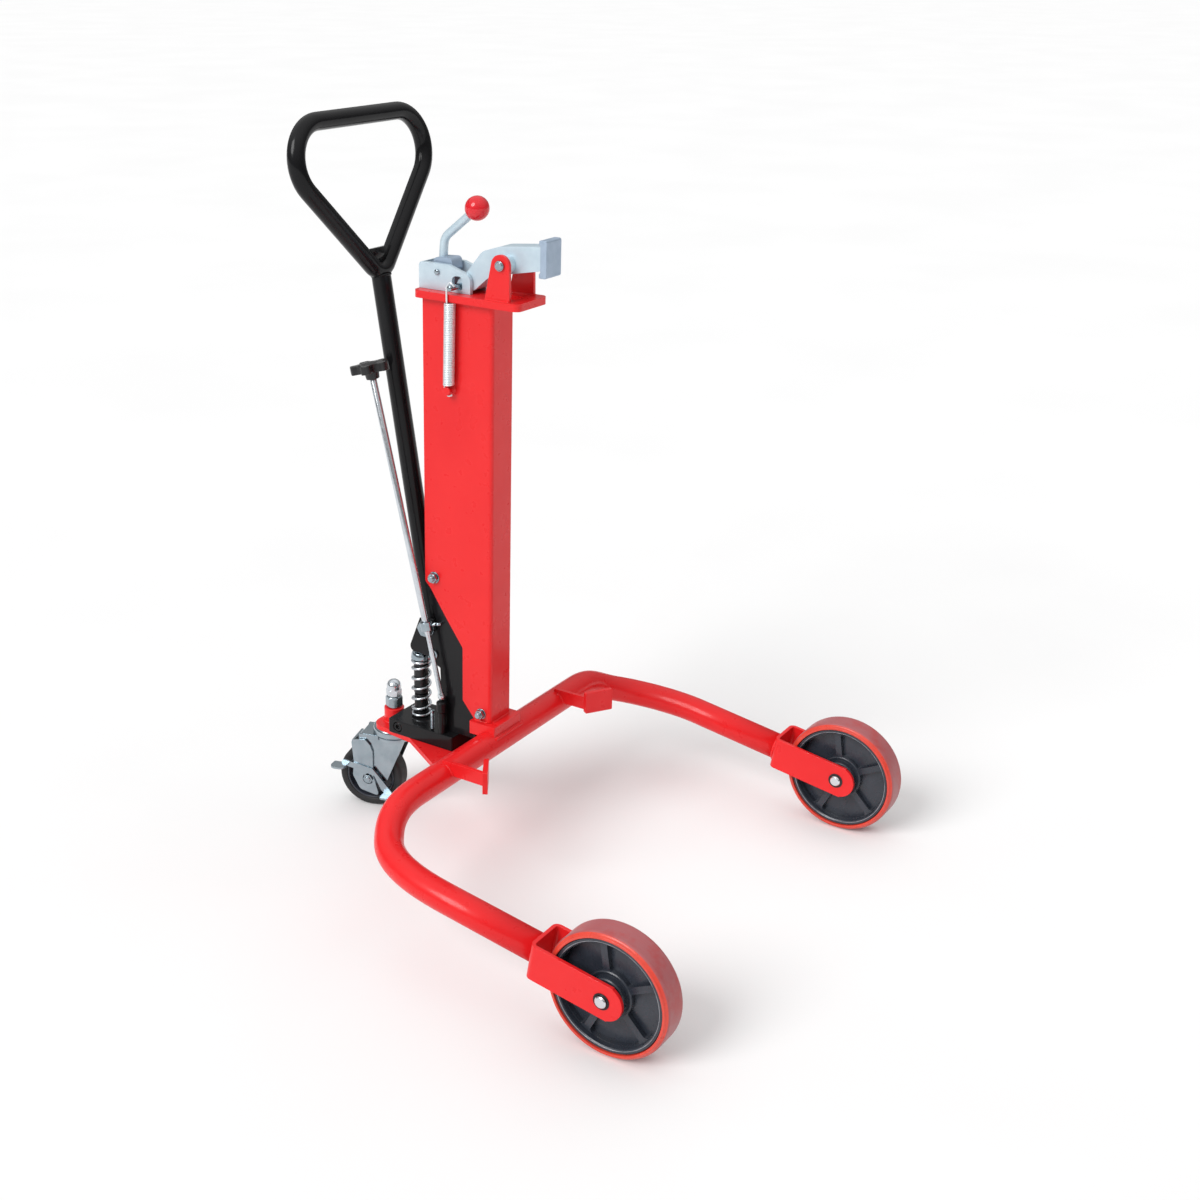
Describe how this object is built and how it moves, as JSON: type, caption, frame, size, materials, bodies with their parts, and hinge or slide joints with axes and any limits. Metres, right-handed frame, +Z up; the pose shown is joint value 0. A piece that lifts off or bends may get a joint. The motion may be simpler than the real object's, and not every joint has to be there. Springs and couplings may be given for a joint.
{
  "type": "hydraulic drum truck",
  "caption": "Three-wheeled hand truck for steel drums: U-shaped tube frame, lifting column with a rim-gripping beak clamp, lever-worked hydraulic pump and braked rear caster.",
  "frame": {"origin": "centre of the footprint, on the floor", "axes": "+Z up, -Y towards the open side of the U-frame where the drum stands, X across the truck"},
  "size_m": [0.7896, 0.8064, 1.1084],
  "materials": {
    "red_paint": "gloss",
    "black_paint": "gloss",
    "zinc": "zinc plated",
    "clamp_plating": "pale zinc, satin",
    "bright_chrome": "polished",
    "ground_steel": "ground",
    "wheel_tread": "cast polyurethane, satin",
    "wheel_core": "painted, satin",
    "caster_rubber": "matte",
    "knob_plastic": "satin",
    "red_ball": "gloss"
  },
  "bodies": {
    "chassis": {"u_frame_tube": "red_paint", "fork_bracket_left": "red_paint", "fork_bracket_right": "red_paint", "axle_pin_left": "bright_chrome", "axle_pin_right": "bright_chrome", "drum_stop_left": "red_paint", "drum_stop_right": "red_paint", "column_foot": "red_paint", "column": "red_paint", "spring_stud": "red_paint", "rear_base_plate": "red_paint", "pump_block": "black_paint", "block_plug": "black_paint", "pump_cheek_left": "black_paint", "pump_cheek_right": "black_paint", "column_bolt_upper": "zinc", "column_bolt_lower": "zinc", "ram_cylinder": "ground_steel", "pump_barrel": "black_paint", "pump_spring": "zinc", "release_valve": "black_paint", "relief_screw": "zinc", "rod_guide": "zinc", "pivot_pin": "zinc", "kingpin": "zinc", "stem_nut": "zinc", "dome_nut": "bright_chrome", "caster_top_race": "zinc", "return_spring": "zinc"},
    "front_wheel_left": {"front_tread_left": "wheel_tread", "front_core_left": "wheel_core", "front_bearing_left": "zinc"},
    "front_wheel_right": {"front_tread_right": "wheel_tread", "front_core_right": "wheel_core", "front_bearing_right": "zinc"},
    "lift_head": {"head_plate": "red_paint", "inner_mast": "red_paint", "ram_rod": "bright_chrome", "lug_pin": "zinc", "guide_block": "clamp_plating", "lever_pin": "zinc"},
    "beak": {"beak_arm": "clamp_plating", "jaw_plate": "clamp_plating", "tail_pin": "zinc"},
    "clamp_lever": {"clamp_lever": "clamp_plating", "ball_knob": "red_ball"},
    "pump_handle": {"handle_socket": "black_paint", "handle_tube": "black_paint", "d_grip": "black_paint", "socket_bolt": "zinc", "roller_pin": "zinc"},
    "pump_roller": {"pump_roller": "zinc"},
    "plunger": {"pump_plunger": "zinc"},
    "release": {"release_rod": "zinc", "release_knob": "knob_plastic"},
    "caster_fork": {"caster_fork": "zinc", "caster_axle": "zinc"},
    "caster_wheel": {"caster_tyre": "caster_rubber", "caster_core": "wheel_core"},
    "brake": {"brake_pedal": "zinc"}
  },
  "joints": [
    {"name": "front_left_roll", "type": "hinge", "parent": "chassis", "child": "front_wheel_left", "pos_m": [-0.358, -0.31323, 0.09], "axis": [1, 0, 0], "continuous": true},
    {"name": "front_right_roll", "type": "hinge", "parent": "chassis", "child": "front_wheel_right", "pos_m": [0.358, -0.31323, 0.09], "axis": [1, 0, 0], "continuous": true},
    {"name": "head_lift", "type": "slide", "parent": "chassis", "child": "lift_head", "axis": [0, 0, 1], "range_m": [0, 0.12], "deforming": ["return_spring"]},
    {"name": "beak_tilt", "type": "hinge", "parent": "lift_head", "child": "beak", "pos_m": [0, 0.09077, 0.916], "axis": [1, 0, 0], "range_deg": [0, 6]},
    {"name": "clamp_lever_swing", "type": "hinge", "parent": "lift_head", "child": "clamp_lever", "pos_m": [0, 0.20477, 0.893], "axis": [-1, 0, 0], "range_deg": [0, 25]},
    {"name": "pump_stroke", "type": "hinge", "parent": "chassis", "child": "pump_handle", "pos_m": [0, 0.21577, 0.3], "axis": [-1, 0, 0], "range_deg": [0, 30]},
    {"name": "roller_spin", "type": "hinge", "parent": "pump_handle", "child": "pump_roller", "pos_m": [0, 0.25827, 0.3], "axis": [1, 0, 0], "continuous": true},
    {"name": "plunger_travel", "type": "slide", "parent": "chassis", "child": "plunger", "axis": [0, 0, -1], "range_m": [0, 0.024], "deforming": ["pump_spring"]},
    {"name": "release_turn", "type": "hinge", "parent": "chassis", "child": "release", "pos_m": [-0.034, 0.19377, 0.2366], "axis": [-0.0322, 0.2166, 0.9757], "range_deg": [0, 180]},
    {"name": "caster_swivel", "type": "hinge", "parent": "chassis", "child": "caster_fork", "pos_m": [0, 0.31337, 0.13], "axis": [0, 0, 1], "continuous": true},
    {"name": "caster_roll", "type": "hinge", "parent": "caster_fork", "child": "caster_wheel", "pos_m": [-0.01082, 0.34875, 0.0533], "axis": [-0.9563, -0.2924, 0], "continuous": true},
    {"name": "brake_rock", "type": "hinge", "parent": "caster_fork", "child": "brake", "pos_m": [-0.01082, 0.34875, 0.0533], "axis": [-0.9563, -0.2924, 0], "range_deg": [0, 12]}
  ],
  "couplings": [
    {"joint": "plunger_travel", "follows": "pump_stroke", "m_per_rad": 0.044}
  ]
}
